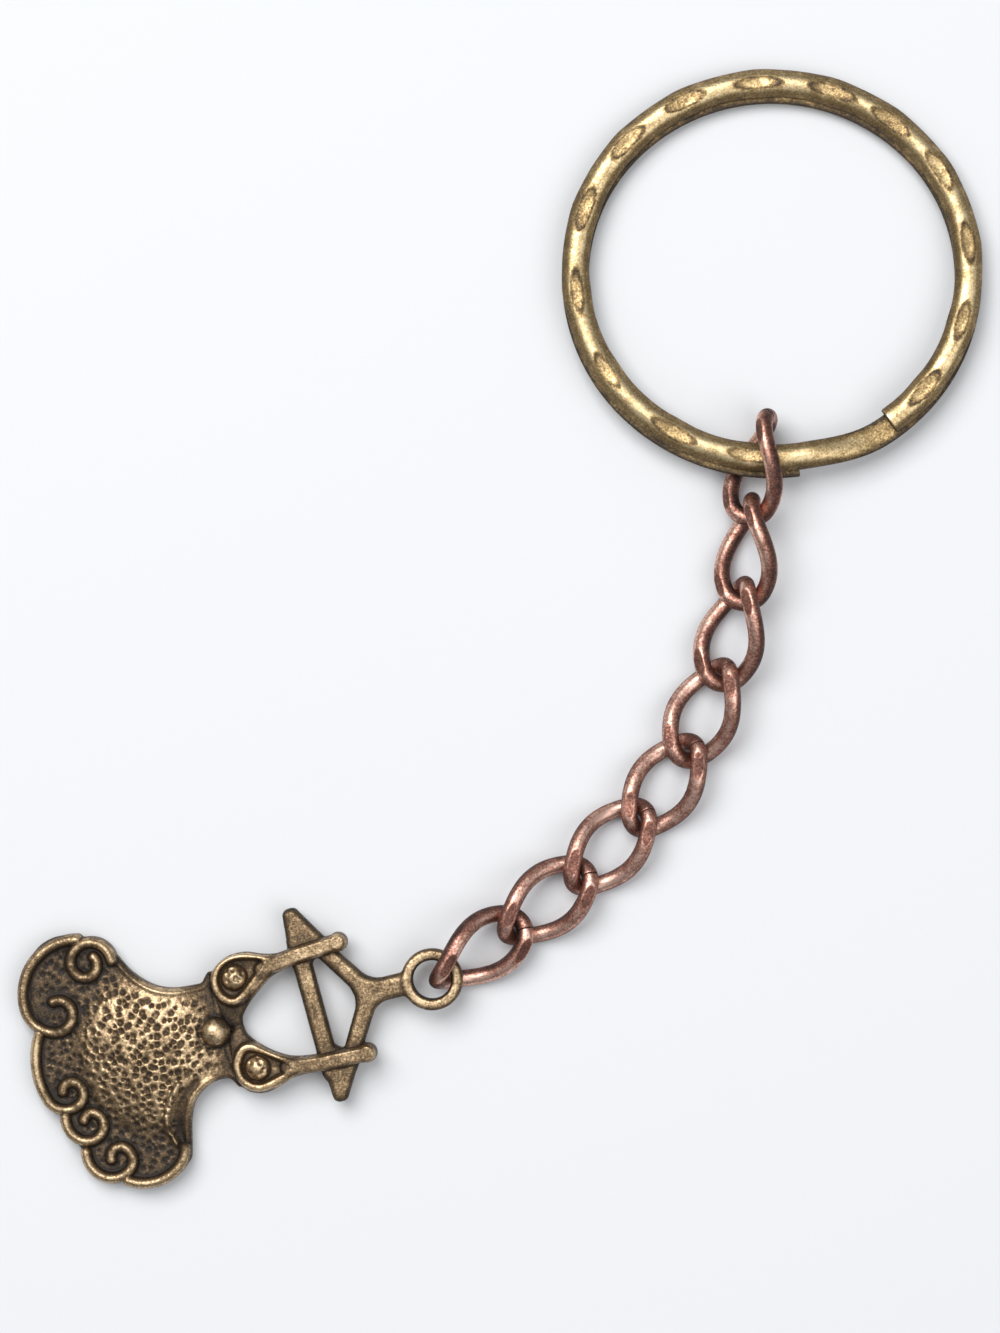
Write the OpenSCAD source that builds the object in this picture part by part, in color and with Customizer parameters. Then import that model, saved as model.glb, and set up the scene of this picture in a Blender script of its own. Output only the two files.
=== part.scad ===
// Split key ring with a curb chain and a dress-on-a-hanger charm.
//
// The ring is one half-round wire wound twice, the chain is eight equal twisted links,
// and the charm is a casting with a flat back. Everything lies on the plane z = 0.
// The origin is on that plane, under the middle of the split ring.

/* [Split ring] */
// Length of the slightly oval ring, along X, over the wire
ring_length = 30.2; // [24:0.1:36]
// Width of the ring along Y, over the wire
ring_width = 29.0; // [23.5:0.1:30]
// Width of the half-round wire, seen from above
ring_wire_w = 1.95; // [1.5:0.05:2.2]
// Height of one turn of the wire
turn_h = 0.975; // [0.7:0.025:1.1]
// Hairline gap between the two turns
turn_gap = 0.05; // [0.02:0.01:0.1]
// Distance that the upper turn sits off the lower turn, along Y
turn_shift = 0.45; // [0:0.05:0.6]
// Angle where the free end of the upper turn stops
upper_end = -55; // [-58:1:-46]
// Angle where the free end starts to bend away from the rest of the turn
bend_root = 40; // [30:1:60]
// Hairline cut there, which lets the free end lift, in degrees of the turn
bend_cut = 0.2; // [0.1:0.05:0.4]
// Angle where the lower turn stops, under the first link
lower_end = 277.4; // [270:0.1:278]
// Length of one dent along the wire
dent_length = 3.0; // [1.5:0.1:3.6]
// Depth of one dent
dent_depth = 0.13; // [0.05:0.01:0.2]

/* [Chain] */
// Thickness of the round link wire
link_wire = 1.2; // [0.9:0.05:1.22]
// Length of a link over the wire
link_length = 8.6; // [8.4:0.05:8.6]
// Width of a link over the wire, before it is twisted
link_width = 5.44; // [5.0:0.05:5.6]
// Bend radius of a link's two ends, to the middle of the wire
link_bow = 1.55; // [1.3:0.05:1.8]
// Twist of a link from one end to the other
link_twist = 96; // [80:1:110]
// How much is ground off a link's high spots, above and below
link_grind = 0.12; // [0:0.01:0.2]

/* [Charm] */
// Thickness of the skirt, bodice and straps at their flat back plate
plate_h = 1.2; // [0.9:0.05:1.6]
// Thickness of the clothes hanger
hanger_h = 1.3; // [1.0:0.05:1.6]
// Thickness of the hanging eye
eye_h = 1.4; // [1.2:0.05:1.6]
// Outside radius of the hanging eye
eye_r = 2.2; // [2.0:0.05:2.3]
// Radius of the hole in the hanging eye
eye_hole_r = 1.36; // [1.34:0.02:1.46]
// Thickness of the scroll wire along the hem
scroll_wire = 0.66; // [0.5:0.02:0.8]
// Height that the domed skirt rises above its plate
dome_h = 0.95; // [0.4:0.05:1.2]

/* [Part shown] */
// One node's name, or all of them

/* [Hidden] */

BRASS = [0.62, 0.52, 0.33];
COPPER = [0.62, 0.38, 0.31];
BRONZE = [0.52, 0.42, 0.28];
ROUND = 48;

// The ring lies tilted, because the first link passes under its near side.
ring_near_lift = 1.35;
ring_tilt = atan(ring_near_lift / (ring_width - ring_wire_w));
ring_axis_h = 1.68;

// The oval of each turn is four quarter arcs: flatter at the top and bottom than at the sides.
oval_a = (ring_length - ring_wire_w) / 2;
oval_b = (ring_width - ring_wire_w) / 2;
oval_step = (oval_a - oval_b) / (sqrt(2) - 1);
side_r = oval_a - oval_step * sqrt(1 / 2);
cap_r = side_r + oval_step;
// The wire crosses from the upper turn down to the lower one between these two angles.
crossing = [lower_end + 2, 360 + upper_end - 2];
wire_side = 0.3;
// Where along the wound wire its hammered dents fall.
DENT_ANGLES = [-40.8, -16.4, 8.4, 33, 53.9, 72.5, 94.1, 115.5, 136, 160.7, 186.9, 213.9, 240.7, 263.9];

// Where each link lies: middle x, y, heading, roll, and the heights of its two ends.
LINK_LIE = [
    [-1.09, -13.75, -101.6, 59, 2.63, 2.38],
    [-1.79, -19.80, -95.1, 50, 2.54, 2.18],
    [-2.87, -25.71, -104.8, 33, 2.28, 1.76],
    [-4.87, -31.37, -114.8, 17, 1.91, 1.49],
    [-7.69, -36.60, -124.1, 5, 1.60, 1.31],
    [-11.66, -41.03, -132.6, -2, 1.42, 1.57],
    [-16.19, -45.00, -141.2, -11, 1.70, 1.66],
    [-21.02, -48.51, -146.0, -30, 1.63, 2.26],
];
link_a = (link_length - link_wire) / 2;
link_b = (link_width - link_wire) / 2;
bow_x = link_a - link_bow;
limb_r = (bow_x * bow_x + link_b * link_b - link_bow * link_bow) / (2 * (link_b - link_bow));
limb_end_x = bow_x * limb_r / (limb_r - link_bow);
link_steps = 36;
link_sides = 12;

// The charm's own frame: X runs from the middle of its eye to the hem, Z is up from its back.
charm_at = [-24.39, -50.5];
charm_heading = 195;
eye_lift = 1.4;
charm_length = 29.6;
charm_tilt = asin(eye_lift / charm_length);
charm_axis_y = -0.3;

// ---------- ring ----------

// Middle and radius of the quarter arc that holds an angle, and the point on it.
function quarter(angle) = round(angle / 90);
function arc_r(q) = q % 2 == 0 ? side_r : cap_r;
function arc_middle(q) =
    let (off = oval_step * sqrt(1 / 2))
    q % 2 == 0 ? [cos(90 * q) * off, 0] : [0, -sin(90 * q) * off];
function oval_point(angle, out = 0) =
    let (q = quarter(angle))
    arc_middle(q) + (arc_r(q) + out) * [cos(angle), sin(angle)];

// Height of the half-round wire's crown at a distance from its middle line.
function crown(x) =
    let (w = ring_wire_w / 2, rise = turn_h - wire_side, r = (w * w + rise * rise) / (2 * rise))
    sqrt(r * r - x * x) - r + turn_h;
crown_xs = [for (i = [-3:3]) ring_wire_w / 2 * sin(i * 30)];

// Half-round outline that turns over as it goes: flip 0 is crown up, flip 1 is crown down.
function wire_outline(flip) = concat(
    [for (x = crown_xs) [x, -flip * crown(x)]],
    [for (i = [len(crown_xs) - 1:-1:0]) [crown_xs[i], (1 - flip) * crown(crown_xs[i])]]
);

// Outline of the wire at an angle of its path, which runs from the free end of the upper turn,
// once round, down across the near side, and once round again to the end of the lower turn.
function wire_at(angle) =
    let (t = max(0, min(1, (angle - crossing[0]) / (crossing[1] - crossing[0]))))
    let (flip = t * t * (3 - 2 * t))
    let (move = [0, turn_shift * (0.9 - flip), turn_gap * (1 - flip)])
    [for (p = wire_outline(flip)) let (at = oval_point(angle, p[0])) [at[0], at[1], p[1]] + move];

// Closed skin over a list of outlines that all have the same number of points.
module skin(rings, closed) {
    n = len(rings[0]);
    m = len(rings);
    sides = [
        for (i = [0:m - (closed ? 1 : 2)], j = [0:n - 1], half = [0, 1])
        let (a = i * n + j, b = i * n + (j + 1) % n)
        let (c = (i + 1) % m * n + (j + 1) % n, d = (i + 1) % m * n + j)
        half == 0 ? [a, b, c] : [a, c, d]
    ];
    caps = closed ? [] : [[for (j = [n - 1:-1:0]) j], [for (j = [0:n - 1]) (m - 1) * n + j]];
    polyhedron([for (r = rings) each r], concat(sides, caps), convexity = 6);
}

module wire(from, to) {
    steps = round((to - from) / 5);
    skin([for (i = [0:steps]) wire_at(from + (to - from) * i / steps)], false);
}

module dent(angle) {
    scoop_r = dent_length * dent_length / (8 * dent_depth);
    at = oval_point(angle);
    translate([at[0], at[1] + 0.9 * turn_shift, turn_gap + turn_h - dent_depth + scoop_r])
        rotate([0, 90, angle])
        cylinder(r = scoop_r, h = ring_wire_w + 0.4, center = true, $fn = 4 * ROUND);
}

// A stretch of the wound wire, with the dents that fall inside it, lying tilted on the table.
module ring_piece(from, to) {
    color(BRASS)
        translate([0, 0, ring_axis_h])
        rotate([-ring_tilt, 0, 0])
        difference() {
            wire(from, to);
            for (angle = DENT_ANGLES)
                if (angle > from + 5 && angle < to - 5)
                    dent(angle);
        }
}

module ring_turns() {
    ring_piece(bend_root, 360 + lower_end);
}

module ring_free_end() {
    ring_piece(upper_end, bend_root - bend_cut);
}

// ---------- chain ----------

// Half the width of a link's middle line at a distance x from its middle.
function limb_y(x) = abs(x) > limb_end_x
    ? sqrt(max(0, link_bow * link_bow - pow(abs(x) - bow_x, 2)))
    : sqrt(limb_r * limb_r - x * x) - limb_r + link_b;
function twist_at(x) = -link_twist / 2 * x / link_a;
function link_point(t) =
    let (x = -link_a * cos(t), y = limb_y(x) * (t < 180 ? 1 : -1), w = twist_at(x))
    [x, y * cos(w), y * sin(w)];
function unit(v) = v / norm(v);

// Round outline of the wire at angle t along a link, cut flat where the link was ground.
function link_outline(t) =
    let (p = link_point(t), along = unit(link_point(t + 0.5) - link_point(t - 0.5)))
    let (w = twist_at(p[0]), normal = [0, -sin(w), cos(w)])
    let (up = unit(normal - (normal * along) * along), side = cross(along, up))
    [
        for (j = [0:link_sides - 1])
        let (s = (j + 0.5) * 360 / link_sides)
        let (q = p + link_wire / 2 * (cos(s) * side + sin(s) * up))
        [q[0], q[1], max(-grind_z, min(grind_z, q[2]))]
    ];
high_spot = max([for (t = [0:2:180]) abs(link_point(t)[2])]);
grind_z = high_spot + link_wire / 2 - link_grind;

module link(i) {
    lie = LINK_LIE[i];
    slope = asin((lie[5] - lie[4]) / (2 * link_a));
    color(COPPER)
        translate([lie[0], lie[1], (lie[4] + lie[5]) / 2])
        rotate([lie[3], -slope, lie[2]])
        skin([for (k = [0:link_steps - 1]) link_outline((k + 0.5) * 360 / link_steps)], true);
}

// ---------- charm ----------

module on_charm() {
    translate([charm_at[0], charm_at[1], eye_lift])
        rotate([0, charm_tilt, charm_heading])
        children();
}

module for_both_sides() {
    translate([0, charm_axis_y]) children();
    translate([0, charm_axis_y]) mirror([0, 1]) children();
}

// Flat bar with round ends between two points.
module bar(p, q, w, h) {
    d = q - p;
    translate(p) cylinder(d = w, h = h, $fn = ROUND);
    translate(q) cylinder(d = w, h = h, $fn = ROUND);
    translate(p) rotate(atan2(d[1], d[0])) translate([0, -w / 2]) cube([norm(d), w, h]);
}

// Stations along a chain of tangent arcs, each arc given as its radius and its turn.
function arc_path(at, heading, arcs, i = 0) =
    let (r = arcs[i][0], turn = arcs[i][1], steps = ceil(turn / 14))
    let (middle = at + r * [-sin(heading), cos(heading)])
    let (stations = [
        for (k = [0:steps])
        let (h = heading + turn * k / steps)
        [middle + r * [sin(h), -cos(h)], h]
    ])
    i + 1 == len(arcs)
        ? stations
        : concat(
            [for (k = [0:steps - 1]) stations[k]],
            arc_path(stations[steps][0], heading + turn, arcs, i + 1)
        );

// Half-round wire raised along such a chain.
module arc_wire(at, heading, arcs) {
    bump = scroll_wire * [[-0.5, 0], [0.5, 0], [0.38, 0.34], [0, 0.5], [-0.38, 0.34]];
    skin([
        for (station = arc_path(at, heading, arcs))
        let (p = station[0], h = station[1])
        [for (q = bump) [p[0] + q[0] * sin(h), p[1] - q[0] * cos(h), q[1]]]
    ], false);
}

// Smooth closed outline through a few points.
function smooth(points, steps = 5) =
    let (n = len(points))
    [
        for (i = [0:n - 1], k = [0:steps - 1])
        let (t = k / steps)
        let (a = points[(i + n - 1) % n], b = points[i])
        let (c = points[(i + 1) % n], d = points[(i + 2) % n])
        b + t / 2 * ((c - a) + t * ((2 * a - 5 * b + 4 * c - d) + t * (3 * b - a - 3 * c + d)))
    ];

module charm_eye() {
    color(BRONZE)
        on_charm()
        rotate_extrude($fn = 2 * ROUND)
        polygon([
            [eye_hole_r, 0.6 * eye_h],
            [eye_hole_r, 0.4 * eye_h],
            [eye_hole_r + 0.12, 0.18 * eye_h],
            [eye_hole_r + 0.38, 0],
            [eye_r - 0.1, 0],
            [eye_r, 0.1],
            [eye_r, eye_h - 0.25],
            [eye_r - 0.2, eye_h],
            [eye_hole_r + 0.38, eye_h],
            [eye_hole_r + 0.12, 0.82 * eye_h],
        ]);
}

hanger_bar_x = 8.7;
module charm_hanger() {
    color(BRONZE)
        on_charm()
        difference() {
            union() {
                bar([2, charm_axis_y], [4.6, charm_axis_y], 1.5, hanger_h);
                for_both_sides() {
                    bar([4.4, 0.2], [7.4, 4.6], 1.2, hanger_h);
                    bar([hanger_bar_x, -0.1], [hanger_bar_x, 6.6], 1.3, hanger_h);
                    linear_extrude(hanger_h)
                        polygon([[6.3, 3.6], [8.2, 6.9], [8.7, 7.2], [9.35, 6.6], [9.35, 3.6]]);
                    translate([8.65, 6.7]) cylinder(r = 0.6, h = hanger_h, $fn = ROUND);
                }
            }
            cylinder(r = eye_r, h = 2 * eye_h, center = true, $fn = 2 * ROUND);
        }
}

// Each strap hooks over the hanger and runs back to a cup of the bodice.
module strap_top() {
    translate([0, 0, hanger_h]) {
        bar([5.8, 4.12], [9.6, 4.0], 1.15, 0.8);
        bar([9.6, 4.0], [12.2, 4.1], 1.2, 0.8);
    }
}

module strap() {
    color(BRONZE) {
        strap_top();
        linear_extrude(hanger_h)
            polygon([[9.36, 3.45], [11.8, 3.0], [11.8, 4.7], [9.36, 4.55]]);
    }
}

module charm_strap_1() {
    on_charm() translate([0, charm_axis_y]) mirror([0, 1]) strap();
}

module charm_strap_2() {
    on_charm() translate([0, charm_axis_y]) strap();
}

cup = [
    [11.8, 3.0], [12.7, 2.4], [13.5, 1.7], [14.1, 0.9], [14.4, 0.0],
    [15.6, 0.0], [15.8, 1.6], [15.75, 3.3], [15.1, 4.5], [13.7, 5.05], [12.5, 4.95], [11.8, 4.7],
];
cup_recess = [[11.9, 3.75], [12.9, 2.85], [14.0, 2.15], [14.75, 2.8], [14.9, 3.7], [14.2, 4.45], [13.0, 4.4]];
cup_rim_h = plate_h + 0.35;
cup_floor_h = plate_h - 0.25;
bead_at = [13.75, 3.4];
bead_r = 0.8;
stud_at = [16.05, charm_axis_y];
stud_r = 1.05;

module charm_bodice() {
    color(BRONZE)
        on_charm()
        union() {
            difference() {
                for_both_sides() linear_extrude(cup_rim_h) polygon(cup);
                for_both_sides()
                    translate([0, 0, cup_floor_h])
                    linear_extrude(2) polygon(smooth(cup_recess));
                for_both_sides() strap_top();
            }
            for_both_sides()
                translate([bead_at[0], bead_at[1], cup_floor_h - 0.1])
                dome(bead_r, 0.95);
            translate([stud_at[0], stud_at[1], 0]) cylinder(r = stud_r, h = plate_h + 0.4, $fn = ROUND);
            translate([stud_at[0], stud_at[1], plate_h + 0.4]) dome(stud_r, 0.7);
        }
}

// Round-topped bump with a flat foot.
module dome(foot_r, h) {
    r = (foot_r * foot_r + h * h) / (2 * h);
    intersection() {
        cylinder(r = foot_r, h = h, $fn = 2 * ROUND);
        translate([0, 0, h - r]) sphere(r = r, $fn = 2 * ROUND);
    }
}

dome_at = [20.8, -0.3];
skirt_outline = [
    [15.6, -4.0], [17.2, -4.05], [19.2, -4.6], [20.9, -6.3], [22.0, -8.4], [23.8, -9.5],
    [25.6, -9.9], [27.7, -8.8], [28.6, -6.3], [28.4, -4.0], [29.4, -1.8], [29.4, 0.6],
    [28.4, 2.2], [28.3, 4.0], [27.6, 5.4], [27.3, 7.0], [25.2, 8.3], [23.4, 9.2], [21.1, 8.7],
    [19.9, 7.4], [19.3, 5.2], [18.0, 3.5], [17.0, 3.1], [15.6, 3.3],
];
module charm_skirt() {
    color(BRONZE)
        on_charm()
        difference() {
            union() {
                linear_extrude(plate_h) polygon(smooth(skirt_outline));
                intersection() {
                    translate([dome_at[0], dome_at[1], plate_h]) dome(5.1, dome_h);
                    linear_extrude(4) polygon(smooth(skirt_outline));
                }
            }
            for_both_sides()
                translate([0, 0, -1]) linear_extrude(4) polygon(cup);
            translate([stud_at[0], stud_at[1], -1])
                cylinder(r = stud_r, h = 4, $fn = ROUND);
        }
}

// Start, heading and arcs of every scroll along the hem.
SCROLLS = [
    [[21.95, -7.24], -96, [[1.55, 80], [1.44, 68], [1.25, 83], [0.85, 102], [0.95, 60]]],
    [[24.0, -9.35], -14, [[3.7, 106], [2.1, 72], [1.2, 98], [0.95, 105]]],
    [[28.3, -3.7], 58, [[5.6, 49], [1.48, 105], [0.9, 119], [0.62, 107]]],
    [[28.1, 2.5], 73, [[1.75, 70], [1.23, 81], [0.92, 98], [0.59, 99]]],
    [[27.4, 5.3], 76, [[2.04, 67], [1.65, 68], [1.04, 99], [0.7, 137]]],
    [[24.9, 8.36], 145, [[3.29, 74], [1.85, 40]]],
];
module charm_hem_scrolls() {
    color(BRONZE)
        on_charm()
        translate([0, 0, plate_h])
        for (s = SCROLLS) arc_wire(s[0], s[1], s[2]);
}

ring_turns();
ring_free_end();
link(0);  // link_1
link(1);  // link_2
link(2);  // link_3
link(3);  // link_4
link(4);  // link_5
link(5);  // link_6
link(6);  // link_7
link(7);  // link_8
charm_eye();
charm_hanger();
charm_strap_1();
charm_strap_2();
charm_bodice();
charm_skirt();
charm_hem_scrolls();
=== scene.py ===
"""A split key ring with a curb chain and a dress-on-a-hanger charm, in worn antique plating."""
import math
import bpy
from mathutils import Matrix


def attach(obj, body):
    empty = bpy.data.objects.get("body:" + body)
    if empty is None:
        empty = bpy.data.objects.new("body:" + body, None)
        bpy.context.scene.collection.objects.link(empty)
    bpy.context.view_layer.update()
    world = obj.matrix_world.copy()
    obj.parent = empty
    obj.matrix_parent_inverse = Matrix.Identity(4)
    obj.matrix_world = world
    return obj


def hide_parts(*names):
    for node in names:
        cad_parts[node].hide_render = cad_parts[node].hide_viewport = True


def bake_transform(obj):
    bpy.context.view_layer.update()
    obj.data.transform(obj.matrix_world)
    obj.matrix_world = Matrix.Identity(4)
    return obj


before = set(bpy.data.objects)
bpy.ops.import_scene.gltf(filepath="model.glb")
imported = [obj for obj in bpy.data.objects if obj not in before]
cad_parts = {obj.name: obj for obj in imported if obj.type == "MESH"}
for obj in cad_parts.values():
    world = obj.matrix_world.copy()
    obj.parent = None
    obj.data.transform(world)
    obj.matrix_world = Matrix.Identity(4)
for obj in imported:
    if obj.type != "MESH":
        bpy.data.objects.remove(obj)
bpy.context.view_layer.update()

import types

import bpy
import numpy as np
import openvdb
from mathutils import Vector

MM = 0.001  # shapes are worked out in millimetres and made in metres


# ---------------------------------------------------------------- small helpers

def smoothstep(low, high, x):
    """0 up to low, 1 from high on, and an even curve between."""
    t = np.clip((x - low) / (high - low), 0, 1)
    return t * t * (3 - 2 * t)


def smooth_min(a, b, k):
    """The lower of two heights or distances, with a fillet of about k where they meet."""
    h = np.clip(0.5 + 0.5 * (b - a) / k, 0, 1)
    return b + (a - b) * h - k * h * (1 - h)


def smooth_max(a, b, k):
    return -smooth_min(-a, -b, k)


def unit(v):
    """The same directions, each with length 1."""
    return v / np.linalg.norm(v, axis=-1, keepdims=True)


def rotation(axis, degrees):
    """3 x 3 matrix of a turn about the X, Y or Z axis."""
    c, s = math.cos(math.radians(degrees)), math.sin(math.radians(degrees))
    i, j = {"x": (1, 2), "y": (2, 0), "z": (0, 1)}[axis]
    m = np.eye(3)
    m[i, i] = m[j, j] = c
    m[i, j], m[j, i] = -s, s
    return m


def make_piece(name, points, faces, material, patina_and_shade):
    """Mesh object from points in millimetres and their patina and painted shade; only its many-sided end
    caps are flat.
    """
    mesh = bpy.data.meshes.new(name)
    mesh.from_pydata((points * MM).tolist(), [], faces)
    mesh.update()
    mesh.polygons.foreach_set("use_smooth", [len(face) <= 4 for face in faces])
    layer = mesh.attributes.new("patina_and_shade", "FLOAT", "POINT")
    layer.data.foreach_set("value", np.asarray(patina_and_shade, np.float32).ravel())
    mesh.materials.append(material)
    piece = bpy.data.objects.new(name, mesh)
    bpy.context.scene.collection.objects.link(piece)
    return piece


def tube_faces(rings, sides, closed):
    """Faces of a skin over rings of points, outward, with end caps when it isn't closed."""
    i = np.arange(rings if closed else rings - 1)[:, None]
    j = np.arange(sides)[None, :]
    after, beside = (i + 1) % rings, (j + 1) % sides
    quads = np.stack(
        [after * sides + j, after * sides + beside, i * sides + beside, i * sides + j], axis=-1
    )
    faces = quads.reshape(-1, 4).tolist()
    if not closed:
        last = (rings - 1) * sides
        faces += [list(range(sides)), list(range(last + sides - 1, last - 1, -1))]
    return faces


# ---------------------------------------------------------------- materials

GRAIN_DEPTH = 0.05 * MM
STOPS = (0.0, 0.28, 0.55, 1.0)  # amounts of patina and painted shade at which the plating has its four colours


class Wiring:
    """Short calls that add nodes to a material; each gives back its output socket."""

    def __init__(self, material):
        self.nodes, self.links = material.node_tree.nodes, material.node_tree.links
        self.place = self.nodes.new("ShaderNodeTexCoord").outputs["Object"]

    def attribute(self, name):
        node = self.nodes.new("ShaderNodeAttribute")
        node.attribute_name = name
        return node.outputs["Fac"]

    def noise(self, scale, detail, rough, distortion=0.0):
        """Noise from 0 to 1, with scale features to the metre."""
        node = self.nodes.new("ShaderNodeTexNoise")
        node.inputs["Scale"].default_value = scale
        node.inputs["Detail"].default_value = detail
        node.inputs["Roughness"].default_value = rough
        node.inputs["Distortion"].default_value = distortion
        self.links.new(self.place, node.inputs["Vector"])
        return node.outputs["Fac"]

    def math(self, kind, a, b, clamp=False):
        node = self.nodes.new("ShaderNodeMath")
        node.operation = kind
        node.use_clamp = clamp
        for socket, value in zip(node.inputs, (a, b)):
            if isinstance(value, (int, float)):
                socket.default_value = value
            else:
                self.links.new(value, socket)
        return node.outputs[0]

    def swing(self, value, strength):
        """A noise value moved to lie about zero, times its strength."""
        return self.math("MULTIPLY", self.math("SUBTRACT", value, 0.5), strength)

    def spread(self, value, low, high, to_low, to_high):
        """A value from low to high brought smoothly to the span from to_low to to_high."""
        node = self.nodes.new("ShaderNodeMapRange")
        node.interpolation_type = "SMOOTHSTEP"
        numbers = {"From Min": low, "From Max": high, "To Min": to_low, "To Max": to_high}
        for key, number in numbers.items():
            node.inputs[key].default_value = number
        self.links.new(value, node.inputs["Value"])
        return node.outputs["Result"]

    def colours(self, value, stops, colours):
        node = self.nodes.new("ShaderNodeValToRGB")
        elements = node.color_ramp.elements
        while len(elements) < len(stops):
            elements.new(0.5)
        for element, where, colour in zip(elements, stops, colours):
            element.position = where
            element.color = (*colour, 1)
        self.links.new(value, node.inputs["Fac"])
        return node.outputs["Color"]

    def bump(self, height, strength, depth):
        node = self.nodes.new("ShaderNodeBump")
        node.inputs["Strength"].default_value = strength
        node.inputs["Distance"].default_value = depth
        self.links.new(height, node.inputs["Height"])
        return node.outputs["Normal"]


def plated_metal(name, dark, mid, bright, worn, roughness, grain):
    """Plated metal with a dark patina and painted shade, and the patina rubbed off the high places.

    The patina_and_shade value on the mesh is 0 where the plating is rubbed bright and where a highlight is
    painted, and 1 where patina and painted shade make it dark.
    """
    material = bpy.data.materials.new(name)
    material.use_nodes = True
    wiring = Wiring(material)
    blotches = wiring.noise(900, 6, 0.65, 0.4)
    speckle = wiring.noise(6500, 4, 0.7)
    tarnish = wiring.noise(260, 4, 0.55)
    amount = wiring.math("ADD", wiring.attribute("patina_and_shade"), wiring.swing(blotches, 1.1))
    amount = wiring.math("ADD", amount, wiring.swing(speckle, 1.6))
    amount = wiring.math("ADD", amount, wiring.swing(tarnish, 0.7), clamp=True)
    height = wiring.math("ADD", speckle, wiring.math("MULTIPLY", blotches, 1.5))

    surface_inputs = {
        "Base Color": wiring.colours(amount, STOPS, (bright, worn, mid, dark)),
        "Metallic": wiring.spread(amount, 0.25, 1.0, 1.0, 0.45),
        "Roughness": wiring.spread(amount, 0.0, 0.9, *roughness),
        "Normal": wiring.bump(height, grain, GRAIN_DEPTH),
    }
    shader = wiring.nodes["Principled BSDF"]
    for key, output in surface_inputs.items():
        wiring.links.new(output, shader.inputs[key])
    return material


BRASS = plated_metal(
    "antique_brass", dark=(0.034, 0.021, 0.010), mid=(0.222, 0.146, 0.062),
    bright=(0.73, 0.57, 0.33), worn=(0.455, 0.325, 0.158), roughness=(0.33, 0.52), grain=0.4)
COPPER = plated_metal(
    "antique_copper", dark=(0.028, 0.011, 0.008), mid=(0.205, 0.088, 0.063),
    bright=(0.83, 0.54, 0.43), worn=(0.48, 0.240, 0.178), roughness=(0.32, 0.52), grain=0.45)
BRONZE = plated_metal(
    "antique_bronze", dark=(0.020, 0.013, 0.008), mid=(0.128, 0.084, 0.046),
    bright=(0.66, 0.49, 0.30), worn=(0.33, 0.230, 0.130), roughness=(0.35, 0.58), grain=0.5)


# ---------------------------------------------------------------- split ring

RING_A, RING_B = 14.125, 13.525  # half axes of the wire's middle line
WIRE_W, TURN_H = 1.95, 0.975  # width and height of the half-round wire
WIRE_SIDE, WIRE_CORNER = 0.3, 0.1  # height of its upright sides, and the rounding of its flat side's edges
TURN_GAP, TURN_SHIFT = 0.05, 0.45  # how far the upper turn lies over the lower one, and beside it
UPPER_END, LOWER_END = -55.0, 637.4  # ends of the wire, in degrees along its winding
CROSSING = (279.4, 303.0)  # where it passes from the upper turn down to the lower one
BEND_ROOT = 40.0  # where the free end bends when it is lifted
RING_MIDDLE_H = 1.68
RING_TILT = math.degrees(math.atan(1.35 / (2 * RING_B)))
RING_SEED = 5

DENTS = (-40.8, -16.4, 8.4, 33, 53.9, 72.5, 94.1, 115.5, 136, 160.7, 186.9, 213.9, 240.7, 263.9)
DENT_LENGTH, DENT_DEPTH, DENT_HALF_W = 3.0, 0.15, 0.55
DENT_RADIUS = 13.8  # turns degrees along the winding into length
DENT_SWELL = 0.065  # how far the wire bulges sideways at a dent

RING_STEP = 0.8  # degrees from one ring of points to the next
CUT_STEPS = np.array([0.12, 0.3, 0.55])  # more rings of points beside a cut end, in degrees from it
SEAM_STEPS = np.array([0.03, 0.1])  # and beside the seam, so that the shading runs on across it
END_PULLS = (0.1, 0.035, 0.008)  # how far the last rings of points are drawn in at a cut end


def oval_frame(angle):
    """Point of the ring's middle line at each angle, and its outward direction."""
    step = (RING_A - RING_B) / (math.sqrt(2) - 1)
    side_r = RING_A - step * math.sqrt(0.5)
    quarter = np.round(angle / 90).astype(int)
    on_side = quarter % 2 == 0
    radius = np.where(on_side, side_r, side_r + step)
    turned = np.radians(90 * quarter)
    off = step * math.sqrt(0.5) * np.where(on_side, 1, -1)
    middle = np.stack([np.cos(turned), np.sin(turned)], -1) * off[:, None]
    out = np.stack([np.cos(np.radians(angle)), np.sin(np.radians(angle))], -1)
    return middle + out * radius[:, None], out


def crown(x):
    """Height of the wire's round side at x across it."""
    half, rise = WIRE_W / 2, TURN_H - WIRE_SIDE
    r = (half * half + rise * rise) / (2 * rise)
    return np.sqrt(r * r - x * x) - r + TURN_H


def dented_crown(angle, x, rng):
    """Height of the round side with its hammered dents, its patina, and the bulge beside each dent."""
    top = np.tile(crown(x), (len(angle), 1))
    patina_and_shade = np.zeros(top.shape)
    swell = np.zeros(len(angle))
    for where in DENTS:
        length = DENT_LENGTH * rng.uniform(0.9, 1.12)
        depth = DENT_DEPTH * rng.uniform(0.8, 1.25)
        tilt = rng.uniform(-0.12, 0.12)
        along = np.radians(angle - where) * DENT_RADIUS
        scoop = TURN_H - depth + depth * (2 * along / length) ** 2
        cut = scoop[:, None] + tilt * x[None, :] + 0.5 * depth * (x[None, :] / DENT_HALF_W) ** 2
        over = top - cut
        near = np.abs(along) < 0.8 * DENT_LENGTH
        patina_and_shade += 0.8 * np.exp(-(over / 0.042) ** 2) * near[:, None]  # dark rim
        patina_and_shade += 0.24 * smoothstep(0, 0.05, over)  # dull floor
        top = smooth_min(top, cut, 0.03)
        swell += DENT_SWELL * np.exp(-(along / 1.1) ** 2)
    return top, patina_and_shade, swell


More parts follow.
